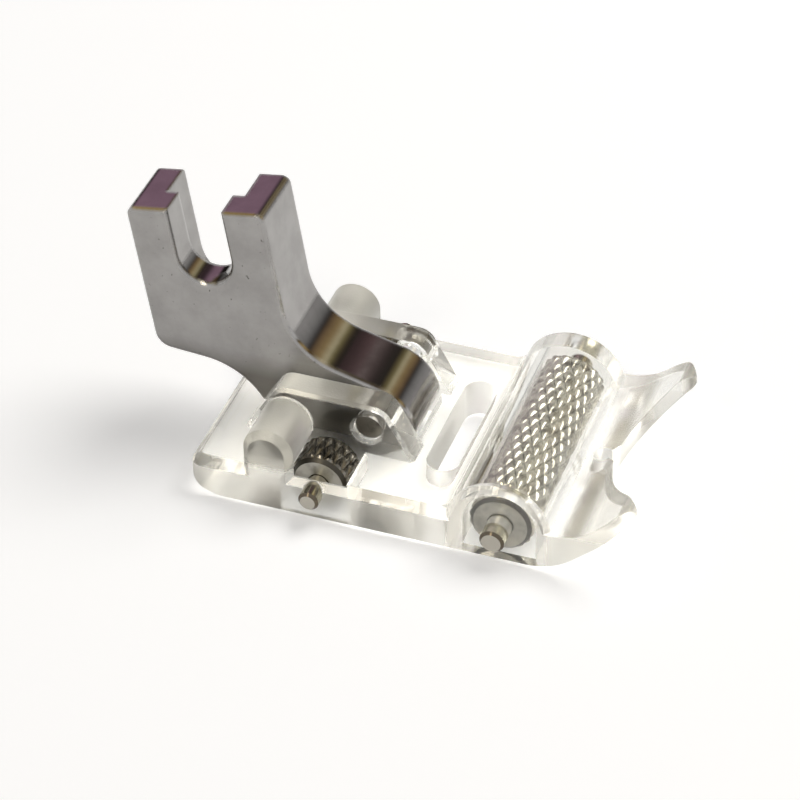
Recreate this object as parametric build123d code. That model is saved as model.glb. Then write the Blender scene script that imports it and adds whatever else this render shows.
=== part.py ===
from build123d import *
import os
from math import asin, atan2, cos, degrees, pi, radians, sin, sqrt

# Roller presser foot, millimetres. While it is being drawn, X runs forward along the feed with zero at the
# needle, Y runs across the feed with zero at the middle, and Z is zero on the sole. At the end the whole foot
# is set on the ground plane with the middle of its box at the origin.

# Clear moulded base, side view
base_width = 19.0
plate_thickness = 3.0
rear_reach = 17.1
rear_lift = 1.3
rear_curl_radius = 3.45
toe_underside_start = 7.7
toe_underside_radius = 5.0
toe_top_radius = 4.6
toe_angle = 42.0
toe_straight = 2.1
toe_tip_bulge = 0.6

# Clear moulded base, plan view
rear_corner_radius = 1.0
toe_corner_start = 12.4
toe_tip_across = 7.6
toe_front_sag = 0.5
mouth_reach = 11.4
mouth_width = 1.8
slit_width = 0.7
slit_hole_diameter = 1.4
slit_hole_reach = 10.4
needle_slot_width = 2.4
needle_slot_length = 10.6

# Front roller, its housing and its axle
front_axle_reach = 5.6
front_roller_radius = 2.35
front_axle_diameter = 1.8
housing_radius = 3.8
housing_foot_radius = 1.0
end_wall = 1.4
front_cavity_gap = 0.3
roller_end_gap = 0.2
front_axle_proud = 1.1

# Rear rollers, their pockets and their axles
rear_axle_setback = 7.8
rear_roller_radius = 2.2
rear_axle_diameter = 1.5
side_wall = 0.55
rear_pocket_gap = 0.3
rear_roller_play = 0.7
rear_axle_proud = 1.0
rear_axle_bite = 1.5

# Rollers stand proud of the sole, and their knurl is a diamond pattern
roller_proud = 0.15
knurl_pitch_round = 0.78
knurl_pitch_along = 1.85
knurl_depth = 0.14
roller_chamfer = 0.4

# Ears, cross ridges and hinge
pivot_setback = 5.35
pivot_height = 5.0
hinge_pin_diameter = 2.0
hinge_pin_recess = 0.5
ear_thickness = 2.1
ear_height = 7.05
ear_foot_behind = 9.15
ear_top_behind = 6.7
ear_top_ahead = 1.25
ear_foot_ahead = 3.5
ear_corner_radius = 1.3
ridge_width = 3.7
ridge_overlap = 0.95
ridge_height = 6.45
well_floor = 1.2
well_gap = 0.3

# Plated shank, upright, measured from the hinge
shank_thickness = 5.7
shank_lean = 9.0
shank_swing = 22.0
fork_width = 10.4
fork_setback = 10.95
fork_top = 15.95
fork_bottom = 4.35
screw_slot_width = 4.1
screw_height = 12.05
screw_wall = 2.4
bar_channel_width = 5.9
bar_channel_bottom = 6.5
waist_corner_setback = 10.1
waist_corner_height = 2.9
waist_radius = 5.5
instep_height = 4.7
instep_radius = 5.3
nose_reach = 2.25
nose_height = 1.15
nose_radius = 3.8
chin_reach = 2.83
chin_drop = 2.1
chin_radius = 1.5
knuckle_drop = 3.75
knuckle_setback = 0.6
heel_setback = 6.3
heel_drop = 4.8
heel_gap = 0.05
fork_corner_radius = 0.6
fork_heel_radius = 1.3
shank_edge_round = 0.3

# Bevels
plate_bevel = 0.65
housing_bevel = 0.4
ear_bevel = 0.25
ridge_end_bevel = 0.5
hinge_hole_bevel = 0.25
shank_back_bevel = 0.45
slot_bevel = 0.2
pin_bevel = 0.2

# Fits
running_gap = 0.05
seat_gap = 0.01
shank_side_gap = 0.15

# Worked out from the sizes above
front_axle_height = front_roller_radius - roller_proud
rear_axle_height = rear_roller_radius - roller_proud
half_width = base_width / 2
cavity_half = half_width - end_wall
ear_inside = shank_thickness / 2 + shank_side_gap
ear_outside = ear_inside + ear_thickness
pocket_outside = half_width - side_wall
pocket_reach = rear_roller_radius + rear_pocket_gap
rear_roller_width = pocket_outside - rear_roller_play - ear_outside - roller_end_gap
ridge_middle = -rear_axle_setback - pocket_reach + ridge_overlap - ridge_width / 2
root_height = plate_thickness / 2
crease_reach = front_axle_reach + sqrt(housing_radius**2 - (plate_thickness - front_axle_height)**2)
whole_length = rear_reach + fork_setback + fork_width
pivot = Pos(-pivot_setback, 0, pivot_height)


def polar(centre, radius, angle):
    """A point on a circle, by its angle in degrees."""
    return (centre[0] + radius * cos(radians(angle)), centre[1] + radius * sin(radians(angle)))


def arc(centre, radius, start, end):
    """An arc of a circle between two angles, in degrees."""
    return ThreePointArc(polar(centre, radius, start), polar(centre, radius, (start + end) / 2),
                         polar(centre, radius, end))


def across(face, low, high):
    """A face drawn in the side view (X and Z), as wide across the foot as from Y low to Y high."""
    return Pos(0, high, 0) * extrude(Plane.XZ * face, high - low)


def upright(face, bottom, top):
    """A face drawn in the plan view, as tall as from Z bottom to Z top."""
    return Pos(0, 0, bottom) * extrude(face, top - bottom)


def rod(x, z, diameter, low, high):
    """A round bar across the foot, from Y low to Y high."""
    return across(Pos(x, z) * Circle(diameter / 2), low, high)


def base_side_view():
    """Side view of the plate and its upturned toes, which rise from the front of the roller housing."""
    rear = -rear_reach
    curl_centre = (rear + sqrt(2 * rear_curl_radius * rear_lift - rear_lift**2), rear_curl_radius)
    curl_end = degrees(asin((curl_centre[0] - rear) / rear_curl_radius))
    under_centre = (toe_underside_start, toe_underside_radius)
    top_centre = (crease_reach, plate_thickness + toe_top_radius)
    slope = (cos(radians(toe_angle)), sin(radians(toe_angle)))
    top_bend = polar(top_centre, toe_top_radius, toe_angle - 90)
    tip_top = (top_bend[0] + toe_straight * slope[0], top_bend[1] + toe_straight * slope[1])
    under_bend = polar(under_centre, toe_underside_radius, toe_angle - 90)
    under_run = (tip_top[0] - under_bend[0]) * slope[0] + (tip_top[1] - under_bend[1]) * slope[1]
    tip_under = (under_bend[0] + under_run * slope[0], under_bend[1] + under_run * slope[1])
    tip = ((tip_top[0] + tip_under[0]) / 2 + toe_tip_bulge * slope[0],
           (tip_top[1] + tip_under[1]) / 2 + toe_tip_bulge * slope[1])
    outline = [
        arc(curl_centre, rear_curl_radius, -90 - curl_end, -90),
        Line((curl_centre[0], 0), (toe_underside_start, 0)),
        arc(under_centre, toe_underside_radius, -90, toe_angle - 90),
        Line(under_bend, tip_under),
        ThreePointArc(tip_under, tip, tip_top),
        Line(tip_top, top_bend),
        arc(top_centre, toe_top_radius, toe_angle - 90, -90),
        Line((crease_reach, plate_thickness), (rear, plate_thickness)),
        Line((rear, plate_thickness), (rear, rear_lift)),
    ]
    return make_face(outline)


def base_plan_view(tip_reach):
    """Plan view of the base: square behind, two toes with a mouth and a slit between them in front."""
    corner = half_width - rear_corner_radius
    mouth = (mouth_reach, mouth_width / 2)
    tip = (tip_reach, toe_tip_across)
    front_middle = ((mouth[0] + tip[0]) / 2 - toe_front_sag, (mouth[1] + tip[1]) / 2 + toe_front_sag)
    half_outline = [
        Line((-rear_reach, 0), (-rear_reach, corner)),
        arc((-rear_reach + rear_corner_radius, corner), rear_corner_radius, 180, 90),
        Line((-rear_reach + rear_corner_radius, half_width), (toe_corner_start, half_width)),
        TangentArc((toe_corner_start, half_width), tip, tangent=(1, 0)),
        ThreePointArc(tip, front_middle, mouth),
        Line(mouth, (mouth[0] - mouth[1], 0)),
        Line((mouth[0] - mouth[1], 0), (-rear_reach, 0)),
    ]
    half = make_face(half_outline)
    slit = Pos((slit_hole_reach + mouth_reach) / 2, 0) * Rectangle(mouth_reach - slit_hole_reach, slit_width)
    hole = Pos(slit_hole_reach, 0) * Circle(slit_hole_diameter / 2)
    needle = SlotOverall(needle_slot_length, needle_slot_width, rotation=90)
    return half + mirror(half, about=Plane.XZ) - slit - hole - needle


def plate_edge():
    """What the bevel takes off the plate's upper edges, along the rear and both sides as far as the housing."""
    outline = Rectangle(2 * rear_reach, base_width)
    outline = fillet(outline.vertices().group_by(Axis.X)[0], rear_corner_radius)
    kept = extrude(outline, plate_bevel, taper=45)
    behind = Box(rear_reach + front_axle_reach, base_width, plate_bevel, align=(Align.MIN, Align.CENTER, Align.MIN))
    return Pos(0, 0, plate_thickness - plate_bevel) * (Pos(-rear_reach, 0, 0) * behind - kept)


def housing():
    """The roller housing: a round arch with bevelled ends, rooted in the plate, and the fillet at its rear foot."""
    centre = (front_axle_reach, front_axle_height)
    arch = across(Pos(*centre) * Circle(housing_radius), -half_width, half_width)
    arch = chamfer(arch.edges().filter_by(GeomType.CIRCLE), housing_bevel)
    above = Box(2 * housing_radius, base_width, 2 * housing_radius, align=(Align.CENTER, Align.CENTER, Align.MIN))
    arch &= Pos(front_axle_reach, 0, root_height) * above
    rise = plate_thickness + housing_foot_radius - front_axle_height
    run = sqrt((housing_radius + housing_foot_radius)**2 - rise**2)
    angle = degrees(atan2(rise, -run))
    foot_centre = (front_axle_reach - run, plate_thickness + housing_foot_radius)
    foot = make_face([
        arc(foot_centre, housing_foot_radius, angle - 180, -90),
        Line((foot_centre[0], plate_thickness), (foot_centre[0], root_height)),
        Line((foot_centre[0], root_height), (front_axle_reach, root_height)),
        Line((front_axle_reach, root_height), polar(centre, housing_radius, angle)),
    ])
    foot_end = half_width - plate_bevel
    return arch + across(foot, -foot_end, foot_end)


def ear_side_view():
    """Side view of one ear: a trapezium with rounded upper corners, rooted in the plate."""
    foot_rear = -pivot_setback - ear_foot_behind
    foot_front = -pivot_setback + ear_foot_ahead
    outline = make_face(Polyline(
        (foot_rear, root_height),
        (foot_front, root_height),
        (foot_front, plate_thickness),
        (-pivot_setback + ear_top_ahead, ear_height),
        (-pivot_setback - ear_top_behind, ear_height),
        (foot_rear, plate_thickness),
        close=True))
    upper = outline.vertices().group_by(Axis.Y)[-1]
    return fillet(upper, ear_corner_radius)


def ear(side):
    """One ear, with a bevel round its outer face."""
    solid = across(ear_side_view(), *sorted((side * ear_inside, side * ear_outside)))
    outer = solid.faces().sort_by(Axis.Y)[-1 if side > 0 else 0]
    upper = [edge for edge in outer.edges() if edge.center().Z > plate_thickness]
    return chamfer(upper, ear_bevel)


def ridge(side):
    """One cross ridge, from the side of the base into the ear: a post with a half-round top and a bevelled end."""
    crown = ridge_height - ridge_width / 2
    post = Pos(ridge_middle, (root_height + crown) / 2) * Rectangle(ridge_width, crown - root_height)
    outline = post + Pos(ridge_middle, crown) * Circle(ridge_width / 2)
    solid = across(outline, *sorted((side * (ear_inside + ear_outside) / 2, side * half_width)))
    end = solid.faces().sort_by(Axis.Y)[-1 if side > 0 else 0]
    rim = [edge for edge in end.edges() if edge.center().Z > root_height]
    return chamfer(rim, ridge_end_bevel)


def well(shank):
    """The space between the ears that the shank's foot needs over its whole swing."""
    foot_space = Pos(-pivot_setback, 0, plate_thickness / 2) * Box(2 * whole_length, base_width, plate_thickness)
    swung = pivot * Rot(0, shank_swing, 0) * pivot.inverse() * shank
    boxes = [(pose & foot_space).bounding_box() for pose in (shank, swung)]
    rear = min(box.min.X for box in boxes) - well_gap
    front = max(box.max.X for box in boxes) + well_gap
    height = plate_thickness - well_floor
    return Pos((rear + front) / 2, 0, well_floor + height / 2) * Box(front - rear, 2 * ear_inside, height)


def roller_space(height, radius):
    """Side view of the space round a roller: round above its axle, straight down to the sole below it."""
    return Pos(0, height) * Circle(radius) + Pos(0, height / 2) * Rectangle(2 * radius, height)


def roller_cavity():
    """The long space under the housing for the front roller."""
    outline = roller_space(front_axle_height, front_roller_radius + front_cavity_gap)
    return across(Pos(front_axle_reach, 0) * outline, -cavity_half, cavity_half)


def roller_pocket(side):
    """The open pocket of one rear roller, between its side wall and its ear, which reaches under the ridge."""
    outline = roller_space(rear_axle_height, pocket_reach)
    return across(Pos(-rear_axle_setback, 0) * outline, *sorted((side * ear_outside, side * pocket_outside)))


def foot_base(shank):
    """The clear moulding: plate, toes, roller housing, ears and ridges, with every pocket and hole cut."""
    body = across(base_side_view(), -half_width, half_width)
    box = body.bounding_box()
    body &= upright(base_plan_view(box.max.X), 0, box.max.Z)
    body -= plate_edge()
    body += housing()
    for side in (-1, 1):
        body += ear(side)
        body += ridge(side)
    body -= well(shank)
    body -= roller_cavity()
    for side in (-1, 1):
        body -= roller_pocket(side)
        body -= rear_axle(side, seat_gap)
    body -= front_axle(seat_gap)
    hinge_hole = Circle(hinge_pin_diameter / 2 + seat_gap)
    body -= across(Pos(-pivot_setback, pivot_height) * hinge_hole, -half_width, half_width)
    for side in (-1, 1):
        rim = Plane((-pivot_setback, side * ear_outside, pivot_height), z_dir=(0, side, 0))
        mouth = offset(hinge_hole, hinge_hole_bevel)
        body -= extrude(rim * mouth, -hinge_hole_bevel, taper=45)
    return body


def shank_side_view():
    """Side view of the upright shank about the hinge: fork block, waist, instep, nose and heel."""
    fork_rear = -fork_setback - fork_width / 2
    fork_front = -fork_setback + fork_width / 2
    corners = {
        (fork_rear, fork_top): fork_corner_radius,
        (fork_front, fork_top): fork_corner_radius,
        (fork_front, instep_height): instep_radius,
        (nose_reach, nose_height): nose_radius,
        (chin_reach, -chin_drop): chin_radius,
        (-knuckle_setback, -knuckle_drop): chin_radius,
        (-heel_setback, -heel_drop): chin_radius,
        (-waist_corner_setback, waist_corner_height): waist_radius,
        (fork_rear, fork_bottom): fork_heel_radius,
    }
    return make_face(FilletPolyline(*corners.keys(), radius=list(corners.values()), close=True))


def fork_slot(width, bottom):
    """Side view of a slot down the middle of the fork, with a round end and open at the top."""
    height = fork_top - bottom
    middle = bottom + width / 2
    outline = Pos(-fork_setback, middle + height / 2) * Rectangle(width, height)
    return outline + Pos(-fork_setback, middle) * Circle(width / 2)


def plated_shank():
    """The metal shank, leaning back on its heel as it stands."""
    half = shank_thickness / 2
    body = across(shank_side_view(), -half, half)
    left = body.faces().sort_by(Axis.Y)[0]
    body = fillet(left.edges(), shank_edge_round)
    right = body.faces().sort_by(Axis.Y)[-1]
    body = chamfer(right.edges(), shank_back_bevel)
    screw_bottom = screw_height - screw_slot_width / 2
    slots = ((screw_slot_width, screw_bottom, -1), (bar_channel_width, bar_channel_bottom, 1))
    for width, bottom, side in slots:
        wall = side * half
        step = screw_wall - half
        body -= across(fork_slot(width, bottom), *sorted((step, wall)))
        mouth = fork_slot(width + 2 * slot_bevel, bottom - slot_bevel)
        body -= Pos(0, wall, 0) * extrude(Plane.XZ * mouth, side * slot_bevel, taper=45)
    body -= rod(0, 0, hinge_pin_diameter + 2 * running_gap, -half, half)
    body = pivot * Rot(0, -shank_lean, 0) * body
    stop = well_floor + heel_gap
    below = Pos(-pivot_setback, 0, stop - heel_drop) * Box(2 * whole_length, base_width, 2 * heel_drop)
    return body - below


def knurled_roller(radius, bore, length):
    """A roller about Y with a diamond knurl: a peak in each diamond, valleys crossing between them."""
    rounds = round(2 * pi * radius / knurl_pitch_round)
    knurled = length - 2 * roller_chamfer
    rows = 2 * max(1, round(knurled / knurl_pitch_along))
    step = pi / rounds

    def ring(y, peak, valley, row):
        points = []
        for i in range(2 * rounds):
            r = peak if (i + row) % 2 == 0 else valley
            points.append(Vector(r * sin(i * step), y, -r * cos(i * step)))
        return points

    face_radius = radius - roller_chamfer
    rings = [ring(-length / 2, face_radius, face_radius, 0)]
    for row in range(rows + 1):
        rings.append(ring(knurled * (row / rows - 0.5), radius, radius - knurl_depth, row))
    rings.append(ring(length / 2, face_radius, face_radius, 0))
    faces = [Face(Wire.make_polygon(rings[0])), Face(Wire.make_polygon(rings[-1]))]
    for row, (low, high) in enumerate(zip(rings, rings[1:])):
        for i in range(2 * rounds):
            j = (i + 1) % (2 * rounds)
            if (i + row) % 2 == 1:
                split = ((low[i], low[j], high[i]), (low[j], high[j], high[i]))
            else:
                split = ((low[i], low[j], high[j]), (low[i], high[j], high[i]))
            faces += [Face(Wire.make_polygon(corners)) for corners in split]
    return Solid(Shell(faces)) - rod(0, 0, bore, -length, length)


def front_axle(gap=0):
    """The long axle of the front roller, with a gap all round when it is the hole for it."""
    end = half_width + front_axle_proud
    return rod(front_axle_reach, front_axle_height, front_axle_diameter + 2 * gap, -end, end)


def rear_axle(side, gap=0):
    """The short axle of one rear roller, from outside the side wall into the ear, or the hole for it."""
    ends = sorted((side * (half_width + rear_axle_proud), side * (ear_outside - rear_axle_bite - gap)))
    return rod(-rear_axle_setback, rear_axle_height, rear_axle_diameter + 2 * gap, *ends)


def hinge_pin():
    """The pin that the shank swings on, let in below both ears' outer faces."""
    end = ear_outside - hinge_pin_recess
    return rod(-pivot_setback, pivot_height, hinge_pin_diameter, -end, end)


def bevel_proud_ends(pin):
    """A pin with each end that stands out of the base bevelled."""
    rims = [edge for edge in pin.edges().filter_by(GeomType.CIRCLE) if abs(edge.center().Y) > half_width]
    return chamfer(rims, pin_bevel)


def front_roller():
    """The long knurled roller under the housing."""
    bore = front_axle_diameter + 2 * running_gap
    roller = knurled_roller(front_roller_radius, bore, 2 * (cavity_half - roller_end_gap))
    return Pos(front_axle_reach, 0, front_axle_height) * roller


def rear_roller(side):
    """One short knurled roller beside an ear."""
    bore = rear_axle_diameter + 2 * running_gap
    middle = side * (ear_outside + roller_end_gap + rear_roller_width / 2)
    roller = knurled_roller(rear_roller_radius, bore, rear_roller_width)
    return Pos(-rear_axle_setback, middle, rear_axle_height) * roller


def presser_foot():
    """Every piece of the foot by its name, in the drawing position."""
    shank = plated_shank()
    pieces = {
        "foot_base": foot_base(shank),
        "shank": shank,
        "hinge_pin": hinge_pin(),
        "front_roller": front_roller(),
        "front_axle": bevel_proud_ends(front_axle()),
    }
    for name, side in (("left", -1), ("right", 1)):
        pieces[f"rear_roller_{name}"] = rear_roller(side)
        pieces[f"rear_axle_{name}"] = bevel_proud_ends(rear_axle(side))
    return pieces


def main():
    """Set the foot on the ground, its box centred on the origin, and write one file for each piece."""
    os.makedirs("parts", exist_ok=True)
    pieces = presser_foot()
    boxes = [piece.bounding_box() for piece in pieces.values()]
    middle = (min(box.min.X for box in boxes) + max(box.max.X for box in boxes)) / 2
    ground = min(box.min.Z for box in boxes)
    for name, piece in pieces.items():
        export_step(Pos(-middle, 0, -ground) * piece, f"parts/{name}.step")
    print("needle at", -middle, "sole at", -ground)


main()
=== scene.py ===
from math import cos, pi, radians, sin

import bpy
from bpy.props import FloatProperty, FloatVectorProperty, IntProperty, PointerProperty
from mathutils import Matrix, Vector


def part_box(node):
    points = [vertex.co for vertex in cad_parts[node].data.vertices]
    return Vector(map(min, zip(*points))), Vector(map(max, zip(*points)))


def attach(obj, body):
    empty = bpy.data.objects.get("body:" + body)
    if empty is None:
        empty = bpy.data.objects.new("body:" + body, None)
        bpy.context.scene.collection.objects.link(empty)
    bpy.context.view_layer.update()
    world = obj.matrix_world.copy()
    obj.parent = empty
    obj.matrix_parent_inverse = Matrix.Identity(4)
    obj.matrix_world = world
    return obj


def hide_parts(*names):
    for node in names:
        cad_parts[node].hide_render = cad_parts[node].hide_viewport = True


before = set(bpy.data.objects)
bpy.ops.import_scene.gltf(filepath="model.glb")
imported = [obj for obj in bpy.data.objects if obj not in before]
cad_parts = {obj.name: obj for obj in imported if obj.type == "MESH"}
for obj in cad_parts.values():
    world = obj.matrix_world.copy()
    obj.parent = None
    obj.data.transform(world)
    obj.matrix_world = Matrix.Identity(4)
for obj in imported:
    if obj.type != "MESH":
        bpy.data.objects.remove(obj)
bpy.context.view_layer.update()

bl_info = {
    "name": "Roller presser foot",
    "version": (1, 0, 0),
    "blender": (4, 5, 0),
    "location": "View3D > Sidebar > Presser foot",
    "description": "Finishes and stage of a clear roller presser foot with a plated shank",
    "category": "Object",
}

MM = 0.001
# Folds of a roller's mesh that are steeper than this, in degrees, stay sharp
SHARP = 34
# How much paler a card shows through the clear base
PALER = 0.6
# Light turns many times inside the clear base before it leaves it
BOUNCES = 32
ACRYLIC_IOR = 1.49
FLOOR_HALF = 1.5
ROLLERS = {
    "front_roller": "front_axle",
    "rear_roller_left": "rear_axle_left",
    "rear_roller_right": "rear_axle_right",
}
# A roller's finishes, in the order of its material slots
KNURL, END, CHAMFER = range(3)

# Where each finish of the clear base begins, and where it is complete
EAR_TOPS_ABOVE = (6.4 * MM, 7.0 * MM)
RIDGES_BEHIND = (-4.8 * MM, -5.0 * MM)
RIDGES_ABOVE = (3.2 * MM, 3.9 * MM)
RIDGES_OUTSIDE = (5.1 * MM, 5.4 * MM)
PLATE_BELOW = (3.6 * MM, 3.1 * MM)
HOUSING_PAST_ROLLER = 1.2 * MM
HOUSING_FADE = 0.3 * MM
# The same for the painted shade low on the shank's broad sides, round the hinge
HINGE_SHADE_BELOW = (8.0 * MM, 6.0 * MM)
# The same for faces, by how far they point up or down, or across the foot, where 1 is all the way
FACING_UP = (0.25, 0.75)
FACING_DOWN = (-0.3, -0.6)
UPRIGHT = (0.35, 0.15)
LEVEL = (0.2, 0.7)
BROAD_SIDES = (0.93, 0.99)
PIN_RIMS = (0.3, 0.6)
PIN_ENDS = (0.85, 0.97)
# The same for noise, which lies round 0.5
DULL_PATCHES = (0.35, 0.65)
PINHOLES = (0.66, 0.72)
STAINS = (0.45, 0.7)
# The lamps' light that the clear base lets through its upright faces and its level ones
LET_UPRIGHT, LET_LEVEL = 0.1, 0.86
# How strongly each bump shows, and how high it stands
WAVE_STRENGTH, WAVE_HEIGHT = 0.12, 0.05 * MM
FROST_STRENGTH, FROST_HEIGHT = 0.35, 0.04 * MM
DENT_STRENGTH, DENT_HEIGHT = 0.03, 0.05 * MM
# How much rougher the plating's dull patches are
DULL_ROUGHER = 0.02
# A pinhole is the tip of a swell of noise that is so many times as wide
SWELL = 3

# The tones of the cards that the shank's curved front mirrors, each with its turn round their cone in degrees. The
# fold's tones lie close together because the front is nearly flat there.
CARDS = {
    "mauve_card": ((-97, "2A2523"), (-64, "2A2523"), (-59, "B390A5"), (-34, "B390A5"), (-14, "54444A"),
                   (4.4, "524343")),
    "fold_card": ((4.4, "524343"), (4.95, "84696A"), (5.13, "A69A98"), (5.3, "857472"), (5.6, "463C3A"),
                  (5.9, "403E38")),
    "amber_card": ((5.9, "403E38"), (11, "4A4038"), (18, "A09468"), (25, "F0E4BC"), (35, "C2A878"), (46, "9A8060"),
                   (54, "484442"), (66, "A8A7A6"), (80, "C5C3C2"), (100, "C5C3C2")),
}
# The tones of the card nearer the camera, which the shank's rounded edges mirror
RIMS = ((-62, "4A3820"), (-48, "FFF4D8"), (-36, "D8B870"), (-24, "2E2620"), (0, "FFF4D8"), (9, "4A3820"),
        (28, "FFF0C8"), (46, "6A4E28"), (58, "E8CC90"), (70, "5A4A34"))
# How far those cards reach from the line across the foot, in degrees, and how far off they hang
CARD_REACH = (33.4, 51.4)
RIM_REACH = (51.5, 118)
CARD_DISTANCE = 0.5
CARD_STEPS = 60


def linear(hex_colour):
    """An sRGB hex colour as linear red, green and blue."""
    parts = [int(hex_colour[i:i + 2], 16) / 255 for i in (0, 2, 4)]
    return tuple(c / 12.92 if c <= 0.04045 else ((c + 0.055) / 1.055) ** 2.4 for c in parts)


def colour(name, description, hex_colour):
    """A colour property with its default written as sRGB hex."""
    return FloatVectorProperty(name=name, description=description, subtype="COLOR", size=3,
                               min=0, max=1, default=linear(hex_colour))


def share(name, description, default):
    """A property from 0 to 1."""
    return FloatProperty(name=name, description=description, subtype="FACTOR", min=0, max=1, default=default)


def size(name, description, default_mm):
    """A length property, with its default in millimetres."""
    return FloatProperty(name=name, description=description, subtype="DISTANCE", unit="LENGTH",
                         min=0, default=default_mm * MM)


class AcrylicSettings(bpy.types.PropertyGroup):
    """The clear moulded base."""
    surface: colour("Surface", "Colour of the clear plastic at its surface", "FBFBF8")
    depth: colour("Depth", "Colour that long paths through the plastic take on", "EBE3C8")
    depth_density: FloatProperty(name="Depth density", min=0, default=14,
                                 description="How fast the plastic takes that colour, per metre")
    polish: share("Polish roughness", "Roughness of the polished mould faces", 0.04)
    drag: share("Drag roughness", "Roughness of the plate's upright sides, which dragged on the mould", 0.5)
    wall: share("Wall roughness", "Roughness of the ears and end walls", 0.14)
    scuff: share("Scuff roughness", "Roughness of the sole and the toes, scuffed in use", 0.2)
    soft: size("Soft edge", "How far the mould rounded the edges", 0.12)
    frost: share("Frost roughness", "Roughness of the tops of the ears and of the ridges", 0.3)
    haze: colour("Haze", "Colour of those frosted faces", "A8A69E")
    grain: size("Grain", "Grain of the frosted tops", 0.14)
    wave: size("Wave", "Length of the mould's faint waves", 2.6)


class PlatingSettings(bpy.types.PropertyGroup):
    """The plated shank."""
    light: colour("Light", "Colour of the bright plate", "A09E9C")
    dull: colour("Dull", "Colour of the duller patches of plate", "949290")
    speck: colour("Speck", "Colour of the pinholes", "4A4744")
    # Painted shade: the broad sides are painted darker low down, round the hinge, where the ear shades them
    hinge_shade: colour("Hinge shade", "Colour of the sides low down, where oil from the hinge has spread", "6A6763")
    polish: share("Polish roughness", "Roughness of the polished edges", 0.03)
    satin: share("Satin roughness", "Roughness of the tumbled sides", 0.3)
    soft: size("Soft edge", "How far tumbling rounded the edges", 0.4)
    patch: size("Patch", "Size of the duller patches", 2.2)
    pinhole: size("Pinhole", "Size of the pinholes", 0.16)


class SteelSettings(bpy.types.PropertyGroup):
    """The knurled rollers and the pins."""
    bright: colour("Bright", "Colour of the long roller", "BAB7AD")
    grimy: colour("Grimy", "Colour of the stains on the long roller", "746F66")
    # Partly grime and partly painted shade: the short rollers are painted darker, for the dark pocket that they sit
    # in and mirror
    dark: colour("Dark", "Colour of the short rollers", "7E7A72")
    # This darkest tone also paints the shade on the rollers' chamfers and on the hinge pin
    darkest: colour("Darkest", "Colour of the stains on the short rollers", "45423C")
    turned: colour("Turned", "Colour of the rollers' turned ends", "B0ADA6")
    cutter: colour("Cutter marks", "Colour of the darker cutter marks on those ends", "8C8982")
    drawn: colour("Drawn", "Colour of the drawn sides of the pins", "B4B0A0")
    # Painted reflection: the rims are painted brown for the warm light that they mirror
    rim: colour("Rim", "Colour of the pins' bevelled rims", "5E564A")
    end: colour("End", "Colour of the pins' cut ends", "ACA89E")
    roughness: share("Knurl roughness", "Roughness of the knurl", 0.16)
    turned_roughness: share("Turned roughness", "Roughness of the rollers' turned ends", 0.35)
    drawn_roughness: share("Drawn roughness", "Roughness of the drawn sides of the pins", 0.12)
    end_roughness: share("End roughness", "Roughness of the pins' cut ends", 0.4)
    stain: size("Stain", "Size of the stains on the rollers", 0.8)


class KnurlSettings(bpy.types.PropertyGroup):
    """The diamond knurl of the rollers."""
    pitch_round: size("Pitch round", "From one diamond to the next round the roller", 0.78)
    pitch_along: size("Pitch along", "From one diamond to the next along the roller", 1.85)
    depth: size("Depth", "Depth of the grooves between the diamonds", 0.14)
    chamfer: size("Chamfer", "Chamfer of the roller's ends", 0.4)
    gap: size("Running gap", "Between the roller and its axle", 0.05)
    fineness: IntProperty(name="Fineness", description="Mesh points to a diamond, an even number",
                          min=4, default=12)


class StageSettings(bpy.types.PropertyGroup):
    """Camera, floor and light."""
    floor: colour("Floor", "Colour of the floor", "F4F4F6")
    floor_glow: share("Floor glow", "How much of the floor's white is its own", 0.34)
    ambient: FloatProperty(name="Ambient", description="Strength of the light from all round", min=0, default=0.2)
    focal: FloatProperty(name="Focal length", description="Focal length on a 36 mm sensor",
                         subtype="DISTANCE_CAMERA", min=1, default=147.6)
    distance: size("Distance", "From the camera to the point that it looks at", 239.4)
    azimuth: FloatProperty(name="Azimuth", description="Round from the foot's left side", subtype="ANGLE",
                           default=radians(19.64))
    elevation: FloatProperty(name="Elevation", description="Above the floor", subtype="ANGLE",
                             default=radians(38.4))
    roll: FloatProperty(name="Roll", description="Turn about the line of sight", subtype="ANGLE",
                        default=radians(-0.43))
    target: FloatVectorProperty(name="Target", description="The point that the camera looks at",
                                subtype="TRANSLATION", unit="LENGTH", size=3,
                                default=(-2.0346 * MM, 4.85 * MM, 0.15 * MM))


def put(tree, kind, inputs=None, **settings):
    """Add a node, set its properties, and set or link its inputs. A Mix node's inputs go by number, because their
    names repeat: 0 is its factor, 4 and 5 are its vectors, and 6 and 7 its colours."""
    node = tree.nodes.new(kind)
    for name, value in settings.items():
        setattr(node, name, value)
    for name, value in (inputs or {}).items():
        if isinstance(value, bpy.types.NodeSocket):
            tree.links.new(value, node.inputs[name])
        else:
            node.inputs[name].default_value = value
    return node


def rgba(rgb):
    """A colour with full alpha."""
    return (*rgb, 1)


def span(ends):
    """The two ends of a range, as a Map Range node names them."""
    return {"From Min": ends[0], "From Max": ends[1]}


def new_material(name):
    """An empty node material, with its output."""
    material = bpy.data.materials.new(name)
    material.use_nodes = True
    tree = material.node_tree
    tree.nodes.clear()
    return material, tree, put(tree, "ShaderNodeOutputMaterial")


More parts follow.
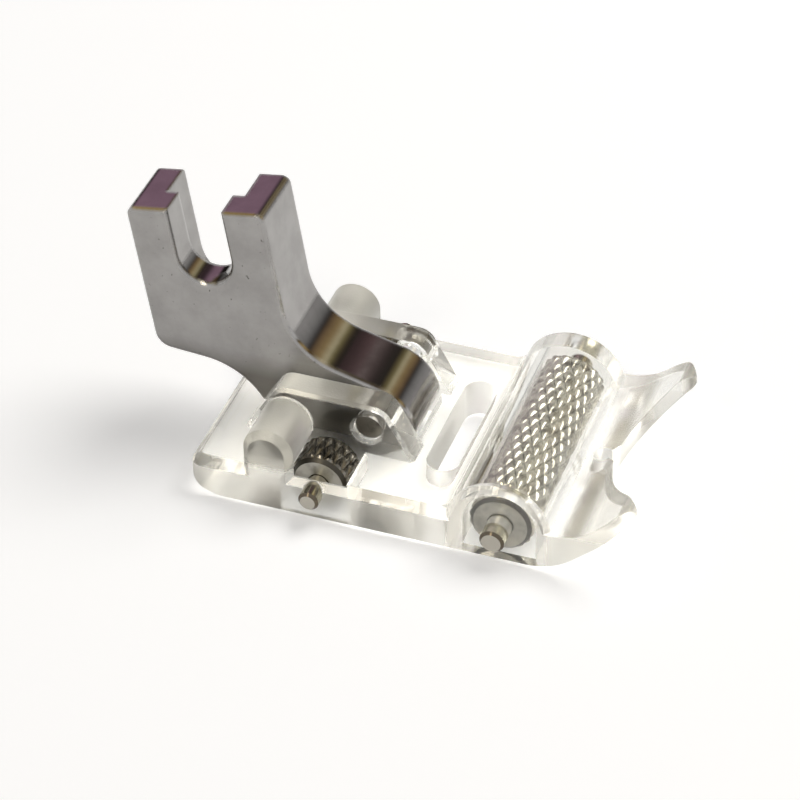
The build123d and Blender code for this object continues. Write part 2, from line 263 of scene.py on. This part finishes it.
def clear_acrylic(s):
    """Clear moulded acrylic. A polished mould leaves it glassy with faint waves, and long paths through it look
    slightly yellow. The mould's split leaves the tops of the ears and the ridges frosted, the plate's sides dragged
    on the mould, and use has scuffed the sole and the toes, so these blur what is behind them. Light from the lamps
    goes through its level faces, and its upright sides bend it aside, so that they throw most of its shadow."""
    material, tree, out = new_material("clear_moulded_acrylic")
    place = put(tree, "ShaderNodeTexCoord")
    where = put(tree, "ShaderNodeSeparateXYZ", {"Vector": place.outputs["Object"]})
    facing = put(tree, "ShaderNodeSeparateXYZ", {"Vector": place.outputs["Normal"]})
    # Frosted on the ears' tops, and all over the ridges, which stand above the plate outside the ears
    up = put(tree, "ShaderNodeMapRange", {"Value": facing.outputs["Z"], **span(FACING_UP)})
    high_up = put(tree, "ShaderNodeMapRange", {"Value": where.outputs["Z"], **span(EAR_TOPS_ABOVE)})
    top = put(tree, "ShaderNodeMath", {0: up.outputs[0], 1: high_up.outputs[0]}, operation="MULTIPLY")
    behind = put(tree, "ShaderNodeMapRange", {"Value": where.outputs["X"], **span(RIDGES_BEHIND)})
    above = put(tree, "ShaderNodeMapRange", {"Value": where.outputs["Z"], **span(RIDGES_ABOVE)})
    across = put(tree, "ShaderNodeMath", {0: where.outputs["Y"]}, operation="ABSOLUTE")
    outside = put(tree, "ShaderNodeMapRange", {"Value": across.outputs[0], **span(RIDGES_OUTSIDE)})
    ridge = put(tree, "ShaderNodeMath", {0: behind.outputs[0], 1: above.outputs[0]}, operation="MULTIPLY")
    ridge = put(tree, "ShaderNodeMath", {0: ridge.outputs[0], 1: outside.outputs[0]}, operation="MULTIPLY")
    mask = put(tree, "ShaderNodeMath", {0: top.outputs[0], 1: ridge.outputs[0]}, operation="MAXIMUM")
    # The mould's grain is finer than the render can show, so it is drawn coarser
    grain = put(tree, "ShaderNodeTexNoise",
                {"Vector": place.outputs["Object"], "Scale": 1 / s.grain, "Detail": 2})
    # The housing has no dragged sides or soft edges, which would blur the roller behind its round wall
    low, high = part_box("front_roller")
    middle = (low[0] + high[0]) / 2
    housing = (high[0] - low[0]) / 2 + HOUSING_PAST_ROLLER
    aside = put(tree, "ShaderNodeMath", {0: where.outputs["X"], 1: -middle})
    aside = put(tree, "ShaderNodeMath", {0: aside.outputs[0]}, operation="ABSOLUTE")
    away = put(tree, "ShaderNodeMapRange", {"Value": aside.outputs[0], **span((housing, housing + HOUSING_FADE))})
    level = put(tree, "ShaderNodeMath", {0: facing.outputs["Z"]}, operation="ABSOLUTE")
    beside = put(tree, "ShaderNodeMapRange", {"Value": where.outputs["Z"], **span(PLATE_BELOW)})
    beside = put(tree, "ShaderNodeMath", {0: beside.outputs[0], 1: away.outputs[0]}, operation="MULTIPLY")
    upright = put(tree, "ShaderNodeMapRange", {"Value": beside.outputs[0], "To Min": s.wall, "To Max": s.drag})
    dragged = put(tree, "ShaderNodeMapRange",
                  {"Value": level.outputs[0], **span(UPRIGHT), "To Min": s.polish, "To Max": upright.outputs[0]})
    under = put(tree, "ShaderNodeMapRange",
                {"Value": facing.outputs["Z"], **span(FACING_DOWN), "To Max": s.scuff})
    under = put(tree, "ShaderNodeMath", {0: under.outputs[0], 1: away.outputs[0]}, operation="MULTIPLY")
    front = middle + housing
    ahead = put(tree, "ShaderNodeMapRange",
                {"Value": where.outputs["X"], **span((front, front + HOUSING_FADE)), "To Max": s.scuff})
    scuffed = put(tree, "ShaderNodeMath", {0: under.outputs[0], 1: ahead.outputs[0]}, operation="MAXIMUM")
    worn = put(tree, "ShaderNodeMath", {0: dragged.outputs[0], 1: scuffed.outputs[0]}, operation="MAXIMUM")
    rough = put(tree, "ShaderNodeMapRange",
                {"Value": mask.outputs[0], "To Min": worn.outputs[0], "To Max": s.frost})
    soft = put(tree, "ShaderNodeBevel", {"Radius": s.soft})
    plain = put(tree, "ShaderNodeNewGeometry")
    edge = put(tree, "ShaderNodeMix", {0: away.outputs[0], 4: plain.outputs["Normal"], 5: soft.outputs[0]},
               data_type="VECTOR")
    wave = put(tree, "ShaderNodeTexNoise",
               {"Vector": place.outputs["Object"], "Scale": 1 / s.wave, "Detail": 1})
    waves = put(tree, "ShaderNodeBump",
                {"Strength": WAVE_STRENGTH, "Distance": WAVE_HEIGHT, "Height": wave.outputs[0],
                 "Normal": edge.outputs[1]})
    frosted = put(tree, "ShaderNodeMath", {0: mask.outputs[0], 1: FROST_STRENGTH}, operation="MULTIPLY")
    bump = put(tree, "ShaderNodeBump",
               {"Strength": frosted.outputs[0], "Distance": FROST_HEIGHT, "Height": grain.outputs[0],
                "Normal": waves.outputs[0]})
    tint = put(tree, "ShaderNodeMix", {0: mask.outputs[0], 6: rgba(s.surface), 7: rgba(s.haze)}, data_type="RGBA")
    shader = put(tree, "ShaderNodeBsdfPrincipled",
                 {"Base Color": tint.outputs[2], "Transmission Weight": 1, "IOR": ACRYLIC_IOR,
                  "Roughness": rough.outputs[0], "Normal": bump.outputs[0]})
    depth = put(tree, "ShaderNodeVolumeAbsorption", {"Color": rgba(s.depth), "Density": s.depth_density})
    through = put(tree, "ShaderNodeMapRange",
                  {"Value": level.outputs[0], **span(LEVEL), "To Min": LET_UPRIGHT, "To Max": LET_LEVEL})
    lit = put(tree, "ShaderNodeBsdfTransparent", {"Color": through.outputs[0]})
    path = put(tree, "ShaderNodeLightPath")
    either = put(tree, "ShaderNodeMixShader",
                 {0: path.outputs["Is Shadow Ray"], 1: shader.outputs[0], 2: lit.outputs[0]})
    tree.links.new(either.outputs[0], out.inputs["Surface"])
    tree.links.new(depth.outputs[0], out.inputs["Volume"])
    return material


def nickel_plate(s):
    """Nickel plate over a casting. The broad sides are tumbled to a satin grey with dull patches and pinholes, and
    painted shade darkens them round the hinge, where the ear shades them. The edges and curved faces are polished,
    so they mirror the room."""
    material, tree, out = new_material("nickel_plated_casting")
    place = put(tree, "ShaderNodeTexCoord")
    facing = put(tree, "ShaderNodeSeparateXYZ", {"Vector": place.outputs["Normal"]})
    sideways = put(tree, "ShaderNodeMath", {0: facing.outputs["Y"]}, operation="ABSOLUTE")
    side = put(tree, "ShaderNodeMapRange", {"Value": sideways.outputs[0], **span(BROAD_SIDES)})
    patch = put(tree, "ShaderNodeTexNoise",
                {"Vector": place.outputs["Object"], "Scale": 1 / s.patch, "Detail": 5, "Roughness": 0.6})
    dull = put(tree, "ShaderNodeMapRange", {"Value": patch.outputs[0], **span(DULL_PATCHES)})
    mix = put(tree, "ShaderNodeMix", {0: dull.outputs[0], 6: rgba(s.light), 7: rgba(s.dull)}, data_type="RGBA")
    # Most real pinholes are too fine to show in the render, so they are drawn coarser
    pin = put(tree, "ShaderNodeTexNoise",
              {"Vector": place.outputs["Object"], "Scale": 1 / (SWELL * s.pinhole), "Detail": 3, "Roughness": 0.7})
    hole = put(tree, "ShaderNodeMapRange", {"Value": pin.outputs[0], **span(PINHOLES)})
    hole = put(tree, "ShaderNodeMath", {0: hole.outputs[0], 1: side.outputs[0]}, operation="MULTIPLY")
    speckled = put(tree, "ShaderNodeMix", {0: hole.outputs[0], 6: mix.outputs[2], 7: rgba(s.speck)},
                   data_type="RGBA")
    where = put(tree, "ShaderNodeSeparateXYZ", {"Vector": place.outputs["Object"]})
    # Painted shade: the broad sides are painted darker towards the hinge, where the ear shades them
    low = put(tree, "ShaderNodeMapRange", {"Value": where.outputs["Z"], **span(HINGE_SHADE_BELOW)})
    hinge_shade_mask = put(tree, "ShaderNodeMath", {0: low.outputs[0], 1: side.outputs[0]}, operation="MULTIPLY")
    hinge_shade = put(tree, "ShaderNodeMix", {0: hinge_shade_mask.outputs[0], 6: speckled.outputs[2], 7: rgba(s.hinge_shade)},
                data_type="RGBA")
    satin = put(tree, "ShaderNodeMapRange", {"Value": side.outputs[0], "To Min": s.polish, "To Max": s.satin})
    varied = put(tree, "ShaderNodeMath", {0: dull.outputs[0], 1: DULL_ROUGHER, 2: satin.outputs[0]},
                 operation="MULTIPLY_ADD")
    edge = put(tree, "ShaderNodeBevel", {"Radius": s.soft})
    dents = put(tree, "ShaderNodeMath", {0: side.outputs[0], 1: DENT_STRENGTH}, operation="MULTIPLY")
    bump = put(tree, "ShaderNodeBump",
               {"Strength": dents.outputs[0], "Distance": DENT_HEIGHT, "Height": patch.outputs[0],
                "Normal": edge.outputs[0]})
    shader = put(tree, "ShaderNodeBsdfPrincipled",
                 {"Base Color": hinge_shade.outputs[2], "Metallic": 1, "Roughness": varied.outputs[0],
                  "Normal": bump.outputs[0]})
    tree.links.new(shader.outputs[0], out.inputs["Surface"])
    return material


def stained_steel(name, s, light, dark, roughness):
    """Bare steel from the lathe, with darker stains of oil and lint. A rolled knurl is left bright, and what is
    only turned is duller."""
    material, tree, out = new_material(name)
    place = put(tree, "ShaderNodeTexCoord")
    stain = put(tree, "ShaderNodeTexNoise",
                {"Vector": place.outputs["Object"], "Scale": 1 / s.stain, "Detail": 4})
    shade = put(tree, "ShaderNodeMapRange", {"Value": stain.outputs[0], **span(STAINS)})
    mix = put(tree, "ShaderNodeMix", {0: shade.outputs[0], 6: rgba(light), 7: rgba(dark)}, data_type="RGBA")
    shader = put(tree, "ShaderNodeBsdfPrincipled",
                 {"Base Color": mix.outputs[2], "Metallic": 1, "Roughness": roughness})
    tree.links.new(shader.outputs[0], out.inputs["Surface"])
    return material


def drawn_steel(s):
    """Drawn steel rod, cropped and bevelled: pale bright sides, matt ends, and a bevelled rim painted brown, a
    painted reflection of warm light.
    """
    material, tree, out = new_material("drawn_steel_rod")
    place = put(tree, "ShaderNodeTexCoord")
    facing = put(tree, "ShaderNodeSeparateXYZ", {"Vector": place.outputs["Normal"]})
    sideways = put(tree, "ShaderNodeMath", {0: facing.outputs["Y"]}, operation="ABSOLUTE")
    cut = put(tree, "ShaderNodeMapRange", {"Value": sideways.outputs[0], **span(PIN_ENDS)})
    # Painted reflection: the bevelled rims are painted brown
    bevel = put(tree, "ShaderNodeMapRange", {"Value": sideways.outputs[0], **span(PIN_RIMS)})
    rim = put(tree, "ShaderNodeMix", {0: bevel.outputs[0], 6: rgba(s.drawn), 7: rgba(s.rim)}, data_type="RGBA")
    mix = put(tree, "ShaderNodeMix", {0: cut.outputs[0], 6: rim.outputs[2], 7: rgba(s.end)}, data_type="RGBA")
    rough = put(tree, "ShaderNodeMapRange",
                {"Value": cut.outputs[0], "To Min": s.drawn_roughness, "To Max": s.end_roughness})
    shader = put(tree, "ShaderNodeBsdfPrincipled",
                 {"Base Color": mix.outputs[2], "Metallic": 1, "Roughness": rough.outputs[0]})
    tree.links.new(shader.outputs[0], out.inputs["Surface"])
    return material


def new_piece(name, points, faces, *materials):
    """A mesh object with its materials."""
    mesh = bpy.data.meshes.new(name)
    mesh.from_pydata(points, [], faces)
    for material in materials:
        mesh.materials.append(material)
    piece = bpy.data.objects.new(name, mesh)
    bpy.context.scene.collection.objects.link(piece)
    return piece


def knurled_roller(node, axle, s, *finishes):
    """A roller with a domed diamond between each two pairs of crossing grooves, and plain turned ends, in place of
    the CAD node. Its finishes are those of the knurl, the ends and the chamfers."""
    low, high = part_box(node)
    axle_low, axle_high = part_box(axle)
    x = (axle_low[0] + axle_high[0]) / 2
    z = (low[2] + high[2]) / 2
    radius = (high[2] - low[2]) / 2
    bore = (axle_high[2] - axle_low[2]) / 2 + s.gap
    knurled = high[1] - low[1] - 2 * s.chamfer
    k = s.fineness
    round_steps = k * round(2 * pi * radius / s.pitch_round)
    along_steps = k * max(1, round(knurled / s.pitch_along))

    def off_peak(step):
        return abs(step / k - round(step / k))

    def crown(step):
        return 1 - (2 * off_peak(step))**3

    def ring(y, reach):
        return [(x + reach(i) * sin(2 * pi * i / round_steps), y, z - reach(i) * cos(2 * pi * i / round_steps))
                for i in range(round_steps)]

    shoulder = s.chamfer - s.depth
    rings = [ring(low[1], lambda i: bore), ring(low[1], lambda i: radius - s.chamfer),
             ring(low[1] + shoulder, lambda i: radius - s.depth)]
    for j in range(along_steps + 1):
        y = low[1] + s.chamfer + knurled * j / along_steps
        rings.append(ring(y, lambda i: radius - s.depth * (1 - crown(i + j) * crown(i - j))))
    rings += [ring(high[1] - shoulder, lambda i: radius - s.depth), ring(high[1], lambda i: radius - s.chamfer),
              ring(high[1], lambda i: bore)]
    points = [point for each in rings for point in each]
    faces = []
    # Each square is split along its ridge or groove. The bore and an end's two rings come before the knurl.
    for r in range(len(rings)):
        j = r - 3
        here, there = r * round_steps, (r + 1) % len(rings) * round_steps
        for i in range(round_steps):
            n = (i + 1) % round_steps
            a, b, c, d = here + i, here + n, there + n, there + i
            if off_peak(i + j + 1) > off_peak(i - j):
                faces += [(a, b, d), (b, c, d)]
            else:
                faces += [(a, b, c), (a, c, d)]
    piece = new_piece(f"{node}_knurl", points, faces, *finishes)
    last = len(rings) - 1
    finish_at = {0: END, 1: CHAMFER, last - 2: CHAMFER, last - 1: END, last: END}
    for polygon in piece.data.polygons:
        polygon.material_index = finish_at.get(polygon.index // (2 * round_steps), KNURL)
    piece.data.shade_smooth()
    piece.data.set_sharp_from_angle(angle=radians(SHARP))
    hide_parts(node)
    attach(piece, node)


def finish_nodes(material, *names):
    """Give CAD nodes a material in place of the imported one."""
    for name in names:
        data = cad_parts[name].data
        data.materials.clear()
        data.materials.append(material)


class PRESSER_OT_base(bpy.types.Operator):
    """Finish the clear base"""
    bl_idname = "presser.base"
    bl_label = "Clear base"

    def execute(self, context):
        finish_nodes(clear_acrylic(context.scene.presser_acrylic), "foot_base")
        return {"FINISHED"}


class PRESSER_OT_shank(bpy.types.Operator):
    """Finish the plated shank"""
    bl_idname = "presser.shank"
    bl_label = "Plated shank"

    def execute(self, context):
        finish_nodes(nickel_plate(context.scene.presser_plating), "shank")
        return {"FINISHED"}


class PRESSER_OT_rollers(bpy.types.Operator):
    """Finish the knurled rollers"""
    bl_idname = "presser.rollers"
    bl_label = "Knurled rollers"

    def execute(self, context):
        s = context.scene.presser_steel
        bright = stained_steel("knurled_bright_steel", s, s.bright, s.grimy, s.roughness)
        # The short rollers' darker knurl is partly grime and partly painted shade of their pocket
        dark = stained_steel("knurled_dark_steel", s, s.dark, s.darkest, s.roughness)
        turned = stained_steel("turned_steel", s, s.turned, s.cutter, s.turned_roughness)
        # Painted shade: the rollers' chamfers are painted in the darkest tone, for the shade and dark reflection
        # round their ends
        chamfer = stained_steel("chamfer_shade_steel", s, s.darkest, s.darkest, s.turned_roughness)
        for node, axle in ROLLERS.items():
            knurl = bright if node == "front_roller" else dark
            knurled_roller(node, axle, context.scene.presser_knurl, knurl, turned, chamfer)
        return {"FINISHED"}


class PRESSER_OT_pins(bpy.types.Operator):
    """Finish the axles and the hinge pin"""
    bl_idname = "presser.pins"
    bl_label = "Axles and hinge pin"

    def execute(self, context):
        s = context.scene.presser_steel
        finish_nodes(drawn_steel(s), *ROLLERS.values())
        # Painted shade: the hinge pin is painted in the short rollers' dark tones, for the shade of the recess in
        # the ear that holds it
        finish_nodes(stained_steel("recess_shaded_steel_rod", s, s.dark, s.darkest, s.turned_roughness), "hinge_pin")
        return {"FINISHED"}


def seen_from_here(tree):
    """1 for what the camera, a mirror or a clear piece shows, and 0 for what only lights other things."""
    path = put(tree, "ShaderNodeLightPath")
    shown = put(tree, "ShaderNodeMath",
                {0: path.outputs["Is Camera Ray"], 1: path.outputs["Is Glossy Ray"]}, operation="MAXIMUM")
    shown = put(tree, "ShaderNodeMath", {0: shown.outputs[0], 1: path.outputs["Is Transmission Ray"]},
                operation="MAXIMUM")
    return shown.outputs[0]


def lay_floor(s):
    """A wide pale floor that keeps the shadow, with a share of white of its own."""
    half = FLOOR_HALF
    corners = [(-half, -half, 0), (half, -half, 0), (half, half, 0), (-half, half, 0)]
    material, tree, out = new_material("matt_white_card")
    paper = put(tree, "ShaderNodeBsdfDiffuse", {"Color": rgba(s.floor)})
    glow = put(tree, "ShaderNodeMath", {0: seen_from_here(tree), 1: s.floor_glow}, operation="MULTIPLY")
    white = put(tree, "ShaderNodeEmission", {"Strength": glow.outputs[0]})
    both = put(tree, "ShaderNodeAddShader", {0: paper.outputs[0], 1: white.outputs[0]})
    tree.links.new(both.outputs[0], out.inputs["Surface"])
    new_piece("floor", corners, [(0, 1, 2, 3)], material)


def hang_card(name, tones, reach, through=True):
    """A studio card that only mirrors and clear plastic show, shaded from tone to tone. The shank's front is curved
    in its side view alone, so what it mirrors lies in a cone about the line across the foot. Each tone has its turn
    round that cone, from overhead towards the toes, and reach is the card's span from that line, all in degrees. A
    card that isn't seen through clear plastic leaves it white."""
    first, last = tones[0][0], tones[-1][0]
    points, faces = [], []
    for i in range(CARD_STEPS + 1):
        a = radians(first + (last - first) * i / CARD_STEPS)
        for e in map(radians, reach):
            points.append(tuple(CARD_DISTANCE * c for c in (sin(e) * sin(a), cos(e), sin(e) * cos(a))))
    for i in range(CARD_STEPS):
        faces.append((2 * i, 2 * i + 2, 2 * i + 3, 2 * i + 1))
    material, tree, out = new_material(name)
    place = put(tree, "ShaderNodeTexCoord")
    where = put(tree, "ShaderNodeSeparateXYZ", {"Vector": place.outputs["Object"]})
    turn = put(tree, "ShaderNodeMath", {0: where.outputs["X"], 1: where.outputs["Z"]}, operation="ARCTAN2")
    along = put(tree, "ShaderNodeMapRange",
                {"Value": turn.outputs[0], **span((radians(first), radians(last)))})
    ramp = put(tree, "ShaderNodeValToRGB", {"Fac": along.outputs[0]})
    ends = ramp.color_ramp.elements
    ends[0].color, ends[1].color = rgba(linear(tones[0][1])), rgba(linear(tones[-1][1]))
    for at, tone in tones[1:-1]:
        ends.new((at - first) / (last - first)).color = rgba(linear(tone))
    path = put(tree, "ShaderNodeLightPath")
    fade = put(tree, "ShaderNodeMath", {0: path.outputs["Is Transmission Ray"], 1: PALER}, operation="MULTIPLY")
    tint = put(tree, "ShaderNodeMix", {0: fade.outputs[0], 6: ramp.outputs[0], 7: (1, 1, 1, 1)}, data_type="RGBA")
    glow = put(tree, "ShaderNodeEmission", {"Color": tint.outputs[2], "Strength": 1})
    tree.links.new(glow.outputs[0], out.inputs["Surface"])
    card = new_piece(name, points, faces, material)
    card.visible_camera = card.visible_diffuse = card.visible_shadow = False
    card.visible_transmission = through


def hang_lamp(name, around, above, distance, width, power, hue):
    """A round soft lamp aimed at the foot, so many degrees round from its far side and above the floor."""
    a, e = radians(around), radians(above)
    lamp = bpy.data.objects.new(name, bpy.data.lights.new(name, "AREA"))
    lamp.data.shape = "DISK"
    lamp.data.size = width
    lamp.data.energy = power
    lamp.data.color = linear(hue)
    lamp.location = (distance * sin(a) * cos(e), distance * cos(a) * cos(e), distance * sin(e))
    lamp.rotation_euler = Vector(lamp.location).to_track_quat("Z", "Y").to_euler()
    bpy.context.scene.collection.objects.link(lamp)


def light_world(s):
    """Even light from all round, and plain white wherever it is seen."""
    world = bpy.data.worlds.new("white_surround")
    world.use_nodes = True
    tree = world.node_tree
    tree.nodes.clear()
    strength = put(tree, "ShaderNodeMapRange", {"Value": seen_from_here(tree), "To Min": s.ambient, "To Max": 1})
    sky = put(tree, "ShaderNodeBackground", {"Color": (1, 1, 1, 1), "Strength": strength.outputs[0]})
    put(tree, "ShaderNodeOutputWorld", {"Surface": sky.outputs[0]})
    bpy.context.scene.world = world


def place_camera(s):
    """The camera at the photograph's angle."""
    a, e, r = s.azimuth, s.elevation, s.roll
    level = Vector((cos(a), sin(a), 0))
    rise = Vector((-sin(a) * sin(e), cos(a) * sin(e), cos(e)))
    ahead = Vector((-sin(a) * cos(e), cos(a) * cos(e), -sin(e)))
    right = level * cos(r) + rise * sin(r)
    up = rise * cos(r) - level * sin(r)
    data = bpy.data.cameras.new("camera")
    data.lens = s.focal
    data.clip_start = 10 * MM
    camera = bpy.data.objects.new("camera", data)
    bpy.context.scene.collection.objects.link(camera)
    turn = Matrix((right, up, -ahead)).transposed().to_4x4()
    camera.matrix_world = Matrix.Translation(Vector(s.target) - ahead * s.distance) @ turn
    bpy.context.scene.camera = camera


class PRESSER_OT_stage(bpy.types.Operator):
    """Lay the floor, hang the lamps and cards, and place the camera"""
    bl_idname = "presser.stage"
    bl_label = "Stage"

    def execute(self, context):
        s = context.scene.presser_stage
        context.scene.view_settings.view_transform = "Standard"
        cycles = context.scene.cycles
        cycles.max_bounces = cycles.glossy_bounces = cycles.transmission_bounces = BOUNCES
        place_camera(s)
        lay_floor(s)
        light_world(s)
        hang_lamp("overhead_lamp", around=40, above=60, distance=0.5, width=0.34, power=1.45, hue="FFFDF8")
        hang_lamp("left_lamp", around=-157, above=50, distance=0.5, width=0.11, power=0.25, hue="FFF3DC")
        for name, tones in CARDS.items():
            hang_card(name, tones, CARD_REACH)
        hang_card("rim_card", RIMS, RIM_REACH, through=False)
        return {"FINISHED"}


class PRESSER_PT_panel(bpy.types.Panel):
    """Buttons and values for the presser foot"""
    bl_label = "Presser foot"
    bl_idname = "PRESSER_PT_panel"
    bl_space_type = "VIEW_3D"
    bl_region_type = "UI"
    bl_category = "Presser foot"

    def draw(self, context):
        for operator in OPERATORS:
            self.layout.operator(operator.bl_idname)
        for name in SETTINGS:
            group = getattr(context.scene, name)
            for prop in group.bl_rna.properties:
                if not prop.is_readonly and prop.identifier != "name":
                    self.layout.prop(group, prop.identifier)


SETTINGS = {
    "presser_acrylic": AcrylicSettings,
    "presser_plating": PlatingSettings,
    "presser_steel": SteelSettings,
    "presser_knurl": KnurlSettings,
    "presser_stage": StageSettings,
}
OPERATORS = (PRESSER_OT_base, PRESSER_OT_shank, PRESSER_OT_rollers, PRESSER_OT_pins, PRESSER_OT_stage)
CLASSES = (*SETTINGS.values(), *OPERATORS, PRESSER_PT_panel)


def register():
    for cls in CLASSES:
        bpy.utils.register_class(cls)
    for name, group in SETTINGS.items():
        setattr(bpy.types.Scene, name, PointerProperty(type=group))


def unregister():
    for name in SETTINGS:
        delattr(bpy.types.Scene, name)
    for cls in reversed(CLASSES):
        bpy.utils.unregister_class(cls)


def main():
    """Register, dress the foot and set the stage."""
    register()
    bpy.ops.presser.base()
    bpy.ops.presser.shank()
    bpy.ops.presser.rollers()
    bpy.ops.presser.pins()
    bpy.ops.presser.stage()


if __name__ == "__main__":
    main()
